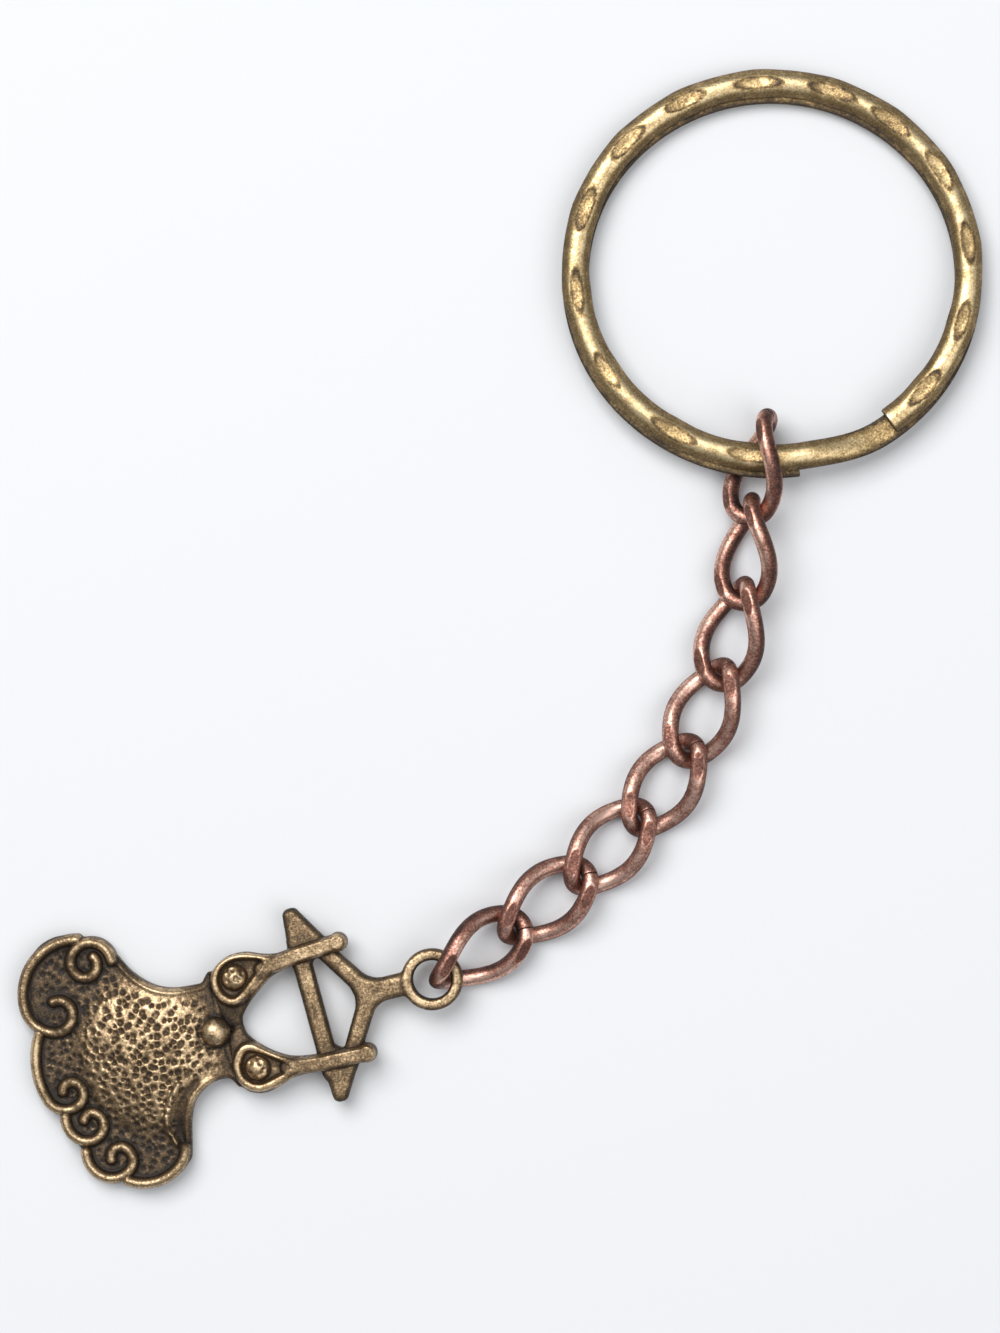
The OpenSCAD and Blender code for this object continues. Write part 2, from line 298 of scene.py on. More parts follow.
def ring_wire(angle, rng):
    """Points and patina, with painted shade and a painted highlight, of the half-round wire at each angle
    along its two turns.
    """
    half = WIRE_W / 2
    x = half * np.sin(np.radians(np.linspace(-90, 90, 25)))
    past = np.clip(np.abs(x) - (half - WIRE_CORNER), 0, None)
    rounding = WIRE_CORNER - np.sqrt(WIRE_CORNER ** 2 - past ** 2)
    flip = smoothstep(CROSSING[0], CROSSING[1], angle)[:, None]  # 0 in the upper turn, 1 in the lower

    top, patina_and_shade, swell = dented_crown(angle, x, rng)
    # Darker towards the sides, bright along the crown: patina kept on the sides and rubbed off the crown,
    # with painted shade on the sides and a painted highlight along the crown.
    patina_and_shade += 0.12 + 0.60 * smoothstep(0.42, 1.0, np.abs(x) / half)
    under_z = (1 - flip) * rounding - flip * crown(x)
    top_z = (1 - flip) * top - flip * rounding
    # Dark all over the underside: patina and painted shade under the wire.
    underside_patina_and_shade = np.full(under_z.shape, 0.75)

    wide = 1 + swell[:, None] / half
    xs = np.concatenate([np.tile(x, (len(angle), 1)), np.tile(x[::-1], (len(angle), 1))], 1) * wide
    zs = np.concatenate([under_z, top_z[:, ::-1]], 1) + TURN_GAP * (1 - flip)
    # The 0.35 added to the lower turn's top is painted shade under the upper turn.
    values = np.concatenate([underside_patina_and_shade, patina_and_shade[:, ::-1] + 0.35 * flip], 1)

    at, out = oval_frame(angle)
    at = at[:, None, :] + out[:, None, :] * xs[..., None]
    shift = TURN_SHIFT * (0.9 - flip)
    return np.stack([at[..., 0], at[..., 1] + shift, zs], -1), values


def soften_end(rings):
    """Draws the first rings of points in a little, so that the cut end's edge is soft."""
    middle = rings[0].mean(0)
    for ring, pull in zip(rings, END_PULLS):
        ring += (middle - ring) * pull


def make_ring_piece(name, start, stop, cut_first):
    """A length of the ring's wire, with its cut end first or last and the seam at its other end."""
    first, last = (CUT_STEPS, SEAM_STEPS) if cut_first else (SEAM_STEPS, CUT_STEPS)
    angle = np.linspace(start, stop, int((stop - start) / RING_STEP))
    angle = np.sort(np.concatenate([angle, start + first, stop - last]))
    points, patina_and_shade = ring_wire(angle, np.random.default_rng(RING_SEED))
    from_cut = slice(None) if cut_first else slice(None, None, -1)
    soften_end(points[from_cut])
    patina_and_shade[from_cut][:2] += 0.35
    rings, sides = points.shape[:2]
    points = points.reshape(-1, 3) @ rotation("x", -RING_TILT).T + [0, 0, RING_MIDDLE_H]
    return make_piece(name, points, tube_faces(rings, sides, False), BRASS, patina_and_shade)


def ring_point(angle, height):
    """A point over the middle line of the upper turn's wire, in metres."""
    at, _ = oval_frame(np.array([float(angle)]))
    point = np.array([at[0, 0], at[0, 1] + 0.9 * TURN_SHIFT, height])
    return tuple((rotation("x", -RING_TILT) @ point + [0, 0, RING_MIDDLE_H]) * MM)


def make_ring():
    """The wound wire and its free end, two meshes that meet at a seam beyond the bend."""
    seam = BEND_ROOT + 6
    turns = make_ring_piece("ring_wire", seam, LOWER_END, cut_first=False)
    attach(turns, "ring")
    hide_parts("ring_turns")
    free_end = make_ring_piece("ring_wire_free_end", UPPER_END, seam, cut_first=True)
    ring_point(seam - 0.5, 0.5)
    ring_point(BEND_ROOT - 5, 0.5)
    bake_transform(free_end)
    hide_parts("ring_free_end")


# ---------------------------------------------------------------- chain

LINK_A, LINK_B = 3.7, 2.12  # half length and half width of a link's middle line
LINK_BOW, LINK_R = 1.55, 0.6  # radius of its round ends, and of its wire
LINK_TWIST = 96.0
LINK_GRIND = 0.12  # how deep the small flats on its highest places are
LINK_SEAM = 14.0  # where its wire is closed, in degrees round it
LINK_RINGS, LINK_SIDES = 150, 36
# Where each link lies: middle x, y, heading, roll, and the heights of its two ends.
LINK_LIE = (
    (-1.09, -13.75, -101.6, 59, 2.63, 2.38),
    (-1.79, -19.80, -95.1, 50, 2.54, 2.18),
    (-2.87, -25.71, -104.8, 33, 2.28, 1.76),
    (-4.87, -31.37, -114.8, 17, 1.91, 1.49),
    (-7.69, -36.60, -124.1, 5, 1.60, 1.31),
    (-11.66, -41.03, -132.6, -2, 1.42, 1.57),
    (-16.19, -45.00, -141.2, -11, 1.70, 1.66),
    (-21.02, -48.51, -146.0, -30, 1.63, 2.26),
)


def link_path(t):
    """Middle line of a link: an oval of four arcs, twisted along its length."""
    bow_x = LINK_A - LINK_BOW
    limb_r = (bow_x ** 2 + LINK_B ** 2 - LINK_BOW ** 2) / (2 * (LINK_B - LINK_BOW))
    limb_end = bow_x * limb_r / (limb_r - LINK_BOW)
    x = -LINK_A * np.cos(np.radians(t))
    bow = np.sqrt(np.clip(LINK_BOW ** 2 - (np.abs(x) - bow_x) ** 2, 0, None))
    limb = np.sqrt(limb_r ** 2 - x ** 2) - limb_r + LINK_B
    y = np.where(np.abs(x) > limb_end, bow, limb) * np.where(np.mod(t, 360) < 180, 1, -1)
    twist = np.radians(-LINK_TWIST / 2 * x / LINK_A)
    return np.stack([x, y * np.cos(twist), y * np.sin(twist)], -1), twist


def link_wire(rng):
    """Rings of points round a link's wire, with its seam and ground flats, and their patina and painted
    shade.
    """
    seam_rings = LINK_SEAM + np.array([-1.2, -0.7, -0.35, 0, 0.35, 0.7, 1.2])
    even_rings = (np.arange(LINK_RINGS) + 0.5) * 360 / LINK_RINGS
    t = np.sort(np.concatenate([even_rings, seam_rings]))
    at, twist = link_path(t)
    along = unit(link_path(t + 0.4)[0] - link_path(t - 0.4)[0])
    normal = np.stack([np.zeros_like(twist), -np.sin(twist), np.cos(twist)], -1)
    up = unit(normal - (normal * along).sum(-1, keepdims=True) * along)
    side = np.cross(along, up)

    turn = np.radians(np.arange(LINK_SIDES) * 360 / LINK_SIDES)[None, :, None]
    out = np.cos(turn) * side[:, None] + np.sin(turn) * up[:, None]
    radius = LINK_R - 0.09 * np.exp(-((t - LINK_SEAM) / 0.6) ** 2)
    radius = radius * (1 + 0.012 * np.sin(np.radians(3 * t + rng.uniform(0, 360))))
    points = at[:, None] + radius[:, None, None] * out

    highest = np.abs(link_path(np.arange(0, 180, 2.0))[0][:, 2]).max() + LINK_R
    level = highest - LINK_GRIND * rng.uniform(0.85, 1.15)
    height = np.abs(points[..., 2])
    points[..., 2] = np.sign(points[..., 2]) * smooth_min(height, level, 0.02)

    # Darker where the wire faces sideways, bright on its faces: patina kept on the sides and rubbed off
    # the faces, with painted shade on the sides and a painted highlight along the middle.
    patina_and_shade = 0.12 + 0.76 * (1 - smoothstep(0.15, 0.95, np.abs(out[..., 2])))
    patina_and_shade += 0.5 * smoothstep(-0.008, 0.02, height - level)
    patina_and_shade += 1.1 * np.exp(-((t - LINK_SEAM) / 0.8) ** 2)[:, None]
    return points, patina_and_shade


def make_link(number, lie, rng):
    points, patina_and_shade = link_wire(rng)
    faces = tube_faces(*patina_and_shade.shape, True)
    x, y, heading, roll, start_z, end_z = lie
    slope = math.degrees(math.asin((end_z - start_z) / (2 * LINK_A)))
    turn_to_place = rotation("z", heading) @ rotation("y", -slope) @ rotation("x", roll)
    points = points.reshape(-1, 3) @ turn_to_place.T + [x, y, (start_z + end_z) / 2]
    name = f"link_{number}"
    link = make_piece(f"{name}_wire", points, faces, COPPER, patina_and_shade)
    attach(link, name)
    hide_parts(name)


def make_chain():
    rng = np.random.default_rng(11)
    for number, lie in enumerate(LINK_LIE, start=1):
        make_link(number, lie, rng)


# ---------------------------------------------------------------- charm

CHARM_AT = (-24.39, -50.5, 1.4)
CHARM_HEADING = 195.0
CHARM_LENGTH = 29.6
CHARM_TILT = math.degrees(math.asin(CHARM_AT[2] / CHARM_LENGTH))
VOXEL = 0.075
GRID_LOW = np.array([-2.6, -10.6, -0.3])
GRID_HIGH = np.array([30.3, 10.0, 2.9])
FIELD_LIMIT = 0.4  # distances from the surface that are kept in the volume

NO_METAL = -9.0  # height of a feature where it isn't
HANGER_TOP, STRAP_FOOT, CUP_TOP = 1.3, 1.25, 1.78
STRAP_R, STRAP_BALL_R = 0.62, 0.7
BEAD_R, BEAD_RISE, BEAD_PITS = 0.98, 0.85, 11
STUD_R, STUD_FOOT = 1.12, 1.22
SCROLL_R, SCROLL_FOOT = 0.41, 1.05
SKIRT_TOP, BELLY_RISE = 1.08, 1.0
PIT_STEP, PIT_SHIFT, PIT_REACH = 0.56, 0.27, 1.6  # the skirt's punched pits: spacing, unevenness, reach
EYE_R, EYE_MIDDLE_H = 1.80, 0.7  # middle line of the eye's ring
EYE_HOLE_R = 1.9  # hole cut in the stem before the ring is added
EYE_HALF_W, EYE_HALF_H, EYE_CORNER = 0.11, 0.36, 0.31  # the ring's section, and its rounding


class Plan:
    """The charm seen from above: distances over a grid of points, in millimetres."""

    def __init__(self):
        self.xs, self.ys, self.zs = (
            np.arange(low, high, VOXEL) for low, high in zip(GRID_LOW, GRID_HIGH))
        self.x, self.y = np.meshgrid(self.xs, self.ys, indexing="ij")

    def disc(self, at, r):
        return np.hypot(self.x - at[0], self.y - at[1]) - r

    def bar(self, p, q, half_p, half_q=None):
        """Bar with round ends, whose half width may change from one end to the other."""
        half_q = half_p if half_q is None else half_q
        px, py, qx, qy = *p, *q
        dx, dy = qx - px, qy - py
        t = np.clip(((self.x - px) * dx + (self.y - py) * dy) / (dx * dx + dy * dy), 0, 1)
        return np.hypot(self.x - px - t * dx, self.y - py - t * dy) - (half_p + t * (half_q - half_p))

    def shape(self, points):
        """Signed distance to a closed outline, negative inside."""
        best = np.full(self.x.shape, np.inf)
        inside = np.zeros(self.x.shape, bool)
        for (ax, ay), (bx, by) in zip(points, np.roll(points, -1, axis=0)):
            dx, dy = bx - ax, by - ay
            t = np.clip(((self.x - ax) * dx + (self.y - ay) * dy) / max(dx * dx + dy * dy, 1e-9), 0, 1)
            best = np.minimum(best, np.hypot(self.x - ax - t * dx, self.y - ay - t * dy))
            crosses = (ay > self.y) != (by > self.y)
            inside ^= crosses & (self.x < (bx - ax) * (self.y - ay) / (by - ay + 1e-12) + ax)
        return np.where(inside, -best, best)

    def line(self, points):
        """Distance to an open line through points."""
        best = np.full(self.x.shape, np.inf)
        for p, q in zip(points[:-1], points[1:]):
            best = np.minimum(best, self.bar(p, q, 0))
        return best


def smooth_outline(points, steps=6):
    """Closed Catmull-Rom curve through a few points."""
    p = np.array(points, float)
    a, b, c, d = (np.roll(p, k, axis=0)[:, None] for k in (1, 0, -1, -2))
    t = (np.arange(steps) / steps)[None, :, None]
    curve = b + t / 2 * ((c - a) + t * ((2 * a - 5 * b + 4 * c - d) + t * (3 * b - a - 3 * c + d)))
    return curve.reshape(-1, 2)


def arc_line(at, heading, arcs):
    """Points along a chain of tangent arcs, each given as its radius and its turn."""
    at = np.array(at, float)
    line = [at]
    for r, turn in arcs:
        h = np.radians(heading)
        middle = at + r * np.array([-math.sin(h), math.cos(h)])
        for step in np.linspace(0, turn, max(3, int(turn / 6)))[1:]:
            a = math.radians(heading + step)
            line.append(middle + r * np.array([math.sin(a), -math.cos(a)]))
        at, heading = line[-1], heading + turn
    return np.array(line)


# Outlines and places are in the charm's own frame: X runs from the eye to the hem.
SKIRT = (
    (15.2, -4.15), (16.2, -4.0), (17.2, -4.05), (18.2, -4.2), (19.2, -4.6), (20.1, -5.3),
    (20.9, -6.3), (21.5, -7.5), (22.0, -8.4), (22.8, -9.1), (23.8, -9.5), (24.6, -9.8),
    (25.6, -9.9), (26.7, -9.6), (27.7, -8.8), (28.4, -7.6), (28.65, -6.3), (28.6, -5.0),
    (28.5, -3.7), (28.9, -2.9), (29.4, -1.7), (29.55, -0.5), (29.4, 0.8), (28.9, 1.9),
    (28.4, 2.5), (28.4, 3.5), (28.2, 4.3), (27.6, 5.3), (27.5, 6.2), (27.2, 7.1), (26.6, 7.8),
    (25.7, 8.2), (25.2, 8.3), (24.6, 8.8), (23.4, 9.2), (22.3, 9.15), (21.1, 8.7), (20.2, 8.1),
    (19.9, 7.4), (19.6, 6.2), (19.3, 5.2), (18.8, 4.2), (18.0, 3.5), (17.0, 3.1), (16.0, 3.1),
    (15.2, 3.4),
)
CUPS = (
    ((9.3, -4.15), (10.4, -4.6), (11.5, -4.95), (12.5, -5.35), (13.7, -5.4), (14.7, -5.0), (15.4, -4.2),
     (15.6, -3.0), (15.8, -1.5), (15.3, -0.5), (14.15, -0.3), (13.9, -0.9), (13.3, -1.6),
     (12.5, -2.25), (11.5, -2.95), (10.4, -3.6)),
    ((9.3, 3.7), (10.4, 4.05), (11.5, 4.25), (12.4, 4.55), (13.5, 4.8), (14.6, 4.55), (15.3, 3.8),
     (15.5, 2.7), (15.8, 1.2), (15.3, 0.1), (14.15, -0.3), (13.9, 0.4), (13.3, 1.2),
     (12.5, 1.95), (11.5, 2.6), (10.4, 3.15)),
)
CUP_HOLLOWS = (
    ((11.5, -4.4), (12.5, -4.85), (13.5, -5.0), (14.4, -4.65), (14.85, -3.85), (14.7, -2.95),
     (14.1, -2.45), (13.4, -2.75), (12.5, -3.45)),
    ((11.6, 3.38), (12.7, 2.35), (13.6, 1.75), (14.3, 1.65), (14.85, 2.5), (14.7, 3.4),
     (13.9, 4.0), (12.7, 3.85)),
)
BEADS = ((13.7, -3.8), (13.75, 2.9))
STUD = (16.05, -0.35)
# Each scroll: where it starts, its heading, and its tangent arcs as radius and turn.
SCROLLS = (
    ((21.95, -7.24), -96, ((1.55, 80), (1.44, 68), (1.25, 83), (0.85, 102), (0.95, 60))),
    ((24.0, -9.35), -14, ((3.95, 106), (2.28, 72), (1.28, 98), (1.0, 108))),
    ((28.4, -3.4), 58, ((5.7, 49), (1.5, 105), (0.92, 119), (0.66, 107))),
    ((28.1, 2.8), 75, ((1.75, 70), (1.27, 81), (0.96, 98), (0.62, 102))),
    ((27.3, 5.6), 78, ((2.0, 67), (1.68, 68), (1.06, 99), (0.72, 137))),
    ((24.9, 8.36), 145, ((3.29, 74), (1.85, 40))),
)
STRAPS = (
    ((5.85, -4.35), (9.0, -4.2), (11.6, -3.85)),
    ((5.85, 3.88), (9.0, 3.75), (11.6, 3.45)),
)
FOLD = ((19.5, 2.6), (20.3, 3.5), (21.0, 4.7), (21.15, 5.6), (20.8, 6.7))
GROOVE = ((18.3, 2.8), (19.3, 3.5), (20.1, 4.7), (20.35, 5.7), (20.3, 7.0))


def nearest_cells(plan, spots, limit, sizes=1.0):
    """Distance from every grid point to its nearest and second nearest spot, within a limit.

    Distances are in units of each spot's size.
    """
    near, second = np.full(plan.x.shape, limit), np.full(plan.x.shape, limit)
    reach = int(limit / VOXEL) + 1
    for (sx, sy), size in zip(spots, np.broadcast_to(sizes, len(spots))):
        i, j = int((sx - GRID_LOW[0]) / VOXEL), int((sy - GRID_LOW[1]) / VOXEL)
        part = (slice(max(i - reach, 0), i + reach + 1), slice(max(j - reach, 0), j + reach + 1))
        d = np.hypot(plan.x[part] - sx, plan.y[part] - sy) / size
        closer = d < near[part]
        second[part] = np.where(closer, near[part], np.minimum(second[part], d))
        near[part] = np.where(closer, d, near[part])
    return near, second


def hammering(plan, rng):
    """The small punched pits all over the skirt and the ridges between them, each from 0 to 1."""
    rows, columns = np.arange(15, 30, PIT_STEP), np.arange(-10, 10, PIT_STEP)
    grid = np.stack(np.meshgrid(rows, columns, indexing="ij"), -1)
    spots = grid.reshape(-1, 2) + rng.uniform(-PIT_SHIFT, PIT_SHIFT, (grid.size // 2, 2))
    near, second = nearest_cells(plan, spots, PIT_REACH, rng.uniform(0.6, 1.3, len(spots)))
    pits = 1 - smoothstep(0.05, 0.28, near)
    ridges = 1 - smoothstep(0.0, 0.3, second - near)
    return pits, ridges


def dome(d, r, height):
    """Height of a round-topped bump at distance d from its middle."""
    big = (r * r + height * height) / (2 * height)
    return np.where(d < r, np.sqrt(np.clip(big * big - d * d, 0, None)) - big + height, NO_METAL)


def half_round(d, r, lift=1.0):
    """Height of a half-round wire at distance d from its middle line."""
    return np.where(d < r, lift * np.sqrt(np.clip(r * r - d * d, 0, None)), NO_METAL)


def soft_edge(d, r):
    """How far a surface drops towards its outline, where d is -r or more, so that its edge is round."""
    past = np.clip(d + r, 0, r)
    return r - np.sqrt(r * r - past * past)


def ridge_at(d, half):
    """A smooth rise to 1 along a line, from the distance to it."""
    return np.exp(-(d / half) ** 2)


def add_hanger(plan, f):
    """A flat stem, two arms and a rail with pointed tips."""
    stem = plan.bar((1.9, -0.2), (4.7, -0.25), 0.84)
    arms = np.minimum(
        plan.bar((4.75, -0.5), (7.6, -4.9), 0.7, 0.62), plan.bar((4.75, 0.05), (7.35, 4.3), 0.7, 0.62))
    tips = np.minimum(
        plan.shape(((7.1, -4.6), (8.55, -7.05), (8.75, -7.05), (8.95, -4.9), (8.9, -3.4))) - 0.5,
        plan.shape(((6.95, 4.0), (8.4, 6.35), (8.6, 6.35), (8.75, 3.9), (8.8, 2.8))) - 0.47)
    rail = plan.bar((8.75, -5.0), (8.7, 4.6), 0.69)
    f.hanger_d = smooth_min(smooth_min(stem, arms, 0.8), smooth_min(rail, tips, 0.2), 0.25)
    return np.where(f.hanger_d < 0, HANGER_TOP - soft_edge(f.hanger_d, 0.5), NO_METAL)


def add_straps(plan, f):
    """Rounded bars with a ball end, which lie over the hanger and run down into the cups."""
    f.strap_line = np.minimum(*(plan.line(points) for points in STRAPS))
    ball_d = np.minimum(*(plan.disc(points[0], 0) for points in STRAPS))
    settle = smoothstep(9.6, 11.6, plan.x)
    f.strap_d = np.minimum(f.strap_line - STRAP_R - 0.08 * settle, ball_d - STRAP_BALL_R)
    bars = STRAP_FOOT - 0.3 * settle + np.minimum(half_round(f.strap_line, STRAP_R, 1.6), 0.74)
    balls = STRAP_FOOT + np.minimum(half_round(ball_d, STRAP_BALL_R, 1.5), 0.78)
    return np.maximum(bars, balls)


def add_cups(plan, f):
    """Two cups, each with a hollow and a rim, and the sunk web between them."""
    cups = [plan.shape(smooth_outline(points)) for points in CUPS]
    f.cup_d = smooth_min(cups[0], cups[1], 0.3)
    f.hollow_d = np.minimum(*(plan.shape(smooth_outline(points)) for points in CUP_HOLLOWS)) - 0.06
    f.web = smoothstep(0.42, 0.72, f.hollow_d) * smoothstep(12.6, 13.4, plan.x)
    top = CUP_TOP - soft_edge(f.cup_d, 0.34) - 0.2 * np.abs(f.hollow_d - 0.24)
    top = top - 0.5 * smoothstep(0.1, -0.2, f.hollow_d)
    top = top - 0.55 * f.web
    return np.where(f.cup_d < 0, top, NO_METAL)


def add_beads(plan, f, rng):
    """A rough bead in each cup."""
    pits = [(bx + rng.uniform(-0.8, 0.8), by + rng.uniform(-0.8, 0.8))
            for bx, by in BEADS for _ in range(BEAD_PITS)]
    near, _ = nearest_cells(plan, pits, 0.9)
    f.bead_d = np.minimum(*(plan.disc(at, 0) for at in BEADS))
    return 1.15 + dome(f.bead_d, BEAD_R, BEAD_RISE) - 0.16 * (1 - smoothstep(0.02, 0.24, near))


def add_skirt(plan, f, rng):
    """A domed, hammered sheet with a thin rim and one fold."""
    f.skirt_d = plan.shape(smooth_outline(SKIRT))
    f.pits, f.ridges = hammering(plan, rng)
    belly = np.clip(1 - ((plan.x - 20.8) / 6.2) ** 2 - ((plan.y + 0.3) / 6.6) ** 2, 0, 1)
    f.belly = smoothstep(0, 1, belly)
    f.inner = smoothstep(-0.6, -1.35, f.skirt_d)
    f.fold = plan.line(FOLD)
    f.groove = plan.line(GROOVE)
    relief = f.inner * (0.075 + 0.09 * f.belly)
    top = SKIRT_TOP + BELLY_RISE * f.belly
    top = top - relief * f.pits + 0.22 * relief * f.ridges
    top = top + 0.16 * ridge_at(f.skirt_d + 0.32, 0.2) - soft_edge(f.skirt_d, 0.3)
    top = top + 0.32 * ridge_at(f.fold, 0.22) - 0.16 * ridge_at(f.groove, 0.3)
    return np.where(f.skirt_d < 0, top, NO_METAL)


def add_scrolls(plan, f):
    """Round wires along the hem that curl inwards."""
    f.scroll_line = np.min([plan.line(arc_line(*scroll)) for scroll in SCROLLS], axis=0)
    return SCROLL_FOOT + half_round(f.scroll_line, SCROLL_R, 1.5)


def add_stud(plan, f):
    f.stud_d = plan.disc(STUD, 0)
    return STUD_FOOT + half_round(f.stud_d, STUD_R, 0.97)


def charm_patina_and_shade(f, top):
    """Patina and painted shade gather beside whatever stands up and in the pits, and the patina is rubbed
    off the high places.
    """
    around = top.copy()
    for _ in range(14):
        around = (around + np.roll(around, 1, 0) + np.roll(around, -1, 0)
                  + np.roll(around, 1, 1) + np.roll(around, -1, 1)) / 5
    # Lower than the blurred height means darker: patina in the hollows and painted shade there.
    patina_and_shade = 0.34 + 1.5 * (around - top)

    on_skirt = f.skirt_d < 0
    on_strap = f.strap_d < 0
    sheet = on_skirt * (f.scroll_line > 0.38) * (f.stud_d > 1.0) * (f.cup_d > -0.1)
    outer = 1 - smoothstep(0.0, 0.55, f.belly)
    patina_and_shade += 0.42 * outer * sheet
    patina_and_shade -= 0.06 * smoothstep(0.1, 0.6, f.belly) * sheet
    patina_and_shade += 0.34 * f.pits * f.inner
    patina_and_shade -= 0.12 * f.ridges * f.inner * outer * sheet
    patina_and_shade += 0.4 * ridge_at(f.groove, 0.35) * on_skirt
    patina_and_shade -= 0.25 * ridge_at(f.fold, 0.2) * on_skirt

    # Dark lines beside the scrolls and the stud: patina and painted shade where they meet the sheet.
    patina_and_shade += 0.5 * ridge_at(f.scroll_line - 0.46, 0.12) * (f.skirt_d < -0.1)
    patina_and_shade += 0.5 * ridge_at(f.stud_d - 1.2, 0.12)
    patina_and_shade -= 0.25 * (f.stud_d < 0.9)
    patina_and_shade += 0.22 * smoothstep(0.1, -0.15, f.hollow_d) * (f.bead_d > 0.8)
    patina_and_shade -= 0.15 * (f.bead_d < 0.8)
    # The sunk web between the cups is darker: patina and painted shade between them.
    patina_and_shade += 0.35 * f.web * (f.cup_d < 0)

    # Darker towards the straps' sides: patina, and painted shade where the bars turn away from the light.
    patina_and_shade += 0.2 * smoothstep(0.15, 0.5, f.strap_line) * on_strap
    patina_and_shade += (0.1 + 0.3 * smoothstep(-0.3, -0.08, f.hanger_d)) * (f.hanger_d < 0) * ~on_strap
    return patina_and_shade


def charm_from_above(plan):
    """Distance to the whole charm's outline, the height of its top, and its patina and painted shade."""
    rng = np.random.default_rng(3)
    f = types.SimpleNamespace()  # the distances and masks that the features share
    tops = [
        add_hanger(plan, f), add_straps(plan, f), add_cups(plan, f), add_beads(plan, f, rng),
        add_skirt(plan, f, rng), add_scrolls(plan, f), add_stud(plan, f),
    ]
    outline = smooth_min(f.hanger_d, f.strap_d, 0.12)
    outline = smooth_min(outline, f.cup_d, 0.2)
    outline = smooth_min(outline, f.skirt_d, 0.35)
    outline = np.minimum(outline, f.scroll_line - SCROLL_R)
    top = np.max(tops, axis=0)
    top = np.where(top > 0, top, 1.1)
    return outline, top, charm_patina_and_shade(f, top)


def eye_field(plan):
    """Signed distance to the eye, a ring of round-cornered section."""
    x, y = plan.x[..., None], plan.y[..., None]
    z = plan.zs[None, None, :]
    across = np.abs(np.hypot(x, y) - EYE_R) - EYE_HALF_W
    up = np.abs(z - EYE_MIDDLE_H) - EYE_HALF_H
    corner = np.hypot(np.clip(across, 0, None), np.clip(up, 0, None))
    return corner + np.minimum(np.maximum(across, up), 0) - EYE_CORNER


def charm_field(plan, outline, top):
    """Signed distance to the whole casting, roughly true near its surface."""
    z = plan.zs[None, None, :]
    field = smooth_max(outline[..., None], z - top[..., None], 0.1)
    field = smooth_max(field, -z, 0.22)
    field = np.maximum(field, EYE_HOLE_R - plan.disc((0, 0), 0)[..., None])
    return smooth_min(field, eye_field(plan), 0.25)


def surface(field):
    """Points and faces where a field on the grid is zero."""
    volume = openvdb.FloatGrid(FIELD_LIMIT)
    volume.copyFromArray(np.clip(field, -FIELD_LIMIT, FIELD_LIMIT).astype(np.float32))
    points, triangles, quads = volume.convertToPolygons(isovalue=0.0, adaptivity=0.0)
    return points * VOXEL + GRID_LOW, quads.tolist() + triangles.tolist()


def patina_and_shade_on(points, plan, top, patina_and_shade):
    """Patina and painted shade of each point of the casting, from the value seen from above, its side and
    its eye.
    """
    i, j = (np.clip(((points[:, k] - GRID_LOW[k]) / VOXEL).round().astype(int), 0, len(ticks) - 1)
            for k, ticks in enumerate((plan.xs, plan.ys)))
    seen = smoothstep(0.35, 0.0, top[i, j] - points[:, 2])
    values = patina_and_shade[i, j] * seen + 0.6 * (1 - seen)
    from_eye = np.hypot(points[:, 0], points[:, 1])
    # The eye's inner wall is painted dark as shade in the hole; its outer edge is darker too.
    on_eye = 0.2 + 0.9 * smoothstep(1.6, 1.35, from_eye) + 0.35 * smoothstep(1.9, 2.2, from_eye)
    values = np.where(from_eye < 2.25, on_eye, values)
    return np.where(points[:, 2] < 0.12, 0.45, values)


def make_charm():
    plan = Plan()
    outline, top, patina_and_shade = charm_from_above(plan)
    points, faces = surface(charm_field(plan, outline, top))
    values = patina_and_shade_on(points, plan, top, patina_and_shade)
    turn_to_place = rotation("z", CHARM_HEADING) @ rotation("y", CHARM_TILT)
    points = points @ turn_to_place.T + CHARM_AT
    charm = make_piece("charm_casting", points, faces, BRONZE, values)
    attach(charm, "charm")
    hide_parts("charm_eye", "charm_hanger", "charm_strap_1", "charm_strap_2",
                "charm_bodice", "charm_skirt", "charm_hem_scrolls")


# ---------------------------------------------------------------- stage

VIEW_AT = (-0.01955, -0.02805)  # the point of the floor in the middle of the picture
VIEW_HEIGHT = 0.0957  # what the picture's height takes in at the height of the chain
CHAIN_MIDDLE = 0.0022
CAMERA_UP = 0.40
SENSOR_MM = 24
FLOOR_REACH = 2.0
FLOOR_COLOUR = (0.74, 0.748, 0.76)
# Each light: name, place, size and power in watts.
LIGHTS = (
    ("key", (-0.20, 0.21, 0.54), 0.42, 3.3),
    ("fill", (0.30, -0.16, 0.58), 0.5, 1.3),
)
SKY = ((0.15, (0.10, 0.105, 0.11)), (0.75, (0.44, 0.453, 0.475)))  # its colours, from low to high


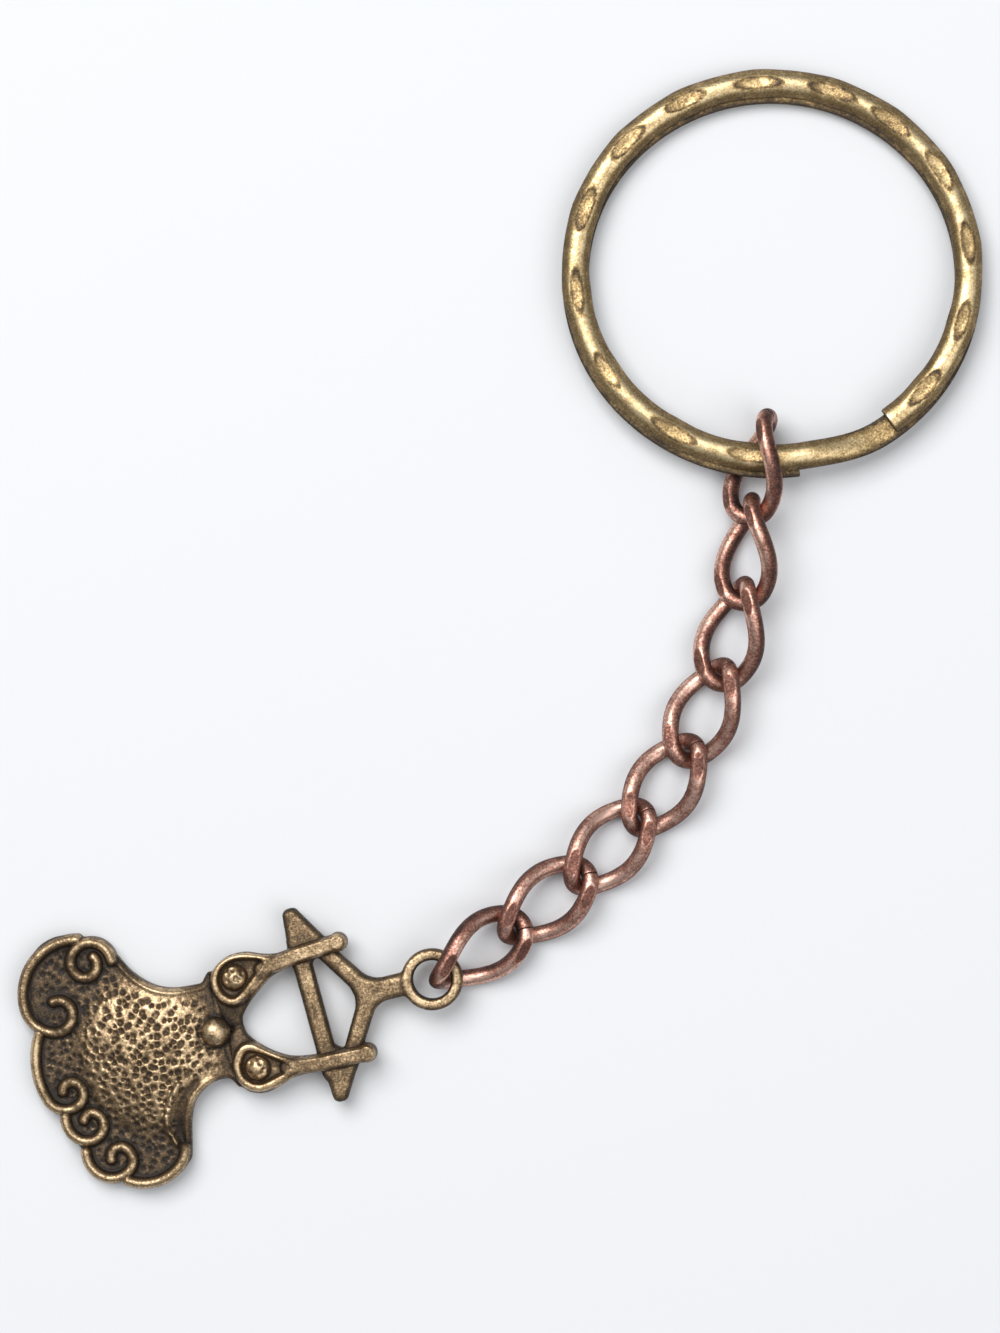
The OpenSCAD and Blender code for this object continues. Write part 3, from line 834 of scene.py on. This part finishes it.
def make_floor():
    material = bpy.data.materials.new("pale_floor")
    material.use_nodes = True
    shader = material.node_tree.nodes["Principled BSDF"]
    shader.inputs["Base Color"].default_value = (*FLOOR_COLOUR, 1)
    shader.inputs["Roughness"].default_value = 0.65
    shader.inputs["Specular IOR Level"].default_value = 0.2
    mesh = bpy.data.meshes.new("floor")
    corners = [(FLOOR_REACH * x, FLOOR_REACH * y, 0) for x, y in ((-1, -1), (1, -1), (1, 1), (-1, 1))]
    mesh.from_pydata(corners, [], [(0, 1, 2, 3)])
    mesh.materials.append(material)
    floor = bpy.data.objects.new("floor", mesh)
    bpy.context.scene.collection.objects.link(floor)


def make_light(name, at, size, watts):
    """Square soft light that faces the middle of the object."""
    data = bpy.data.lights.new(name, "AREA")
    data.shape = "SQUARE"
    data.size = size
    data.energy = watts
    light = bpy.data.objects.new(name, data)
    bpy.context.scene.collection.objects.link(light)
    light.location = at
    aim = Vector((*VIEW_AT, 0)) - Vector(at)
    light.rotation_euler = aim.to_track_quat("-Z", "Y").to_euler()


def make_sky():
    """Soft surroundings, darker towards the horizon and below."""
    world = bpy.data.worlds.new("studio")
    world.use_nodes = True
    nodes, links = world.node_tree.nodes, world.node_tree.links
    place = nodes.new("ShaderNodeTexCoord")
    split = nodes.new("ShaderNodeSeparateXYZ")
    ramp = nodes.new("ShaderNodeValToRGB")
    for element, (height, colour) in zip(ramp.color_ramp.elements, SKY):
        element.position = height
        element.color = (*colour, 1)
    links.new(place.outputs["Generated"], split.inputs["Vector"])
    links.new(split.outputs["Z"], ramp.inputs["Fac"])
    links.new(ramp.outputs["Color"], nodes["Background"].inputs["Color"])
    bpy.context.scene.world = world
    bpy.context.scene.view_settings.view_transform = "Standard"


def make_camera():
    """Camera that looks straight down."""
    data = bpy.data.cameras.new("camera")
    data.sensor_fit = "VERTICAL"
    data.sensor_height = SENSOR_MM
    data.lens = SENSOR_MM * (CAMERA_UP - CHAIN_MIDDLE) / VIEW_HEIGHT
    data.clip_start = 0.01
    data.dof.use_dof = False
    camera = bpy.data.objects.new("camera", data)
    bpy.context.scene.collection.objects.link(camera)
    camera.location = (*VIEW_AT, CAMERA_UP)
    bpy.context.scene.camera = camera


make_ring()
make_chain()
make_charm()
make_floor()
for light in LIGHTS:
    make_light(*light)
make_sky()
make_camera()
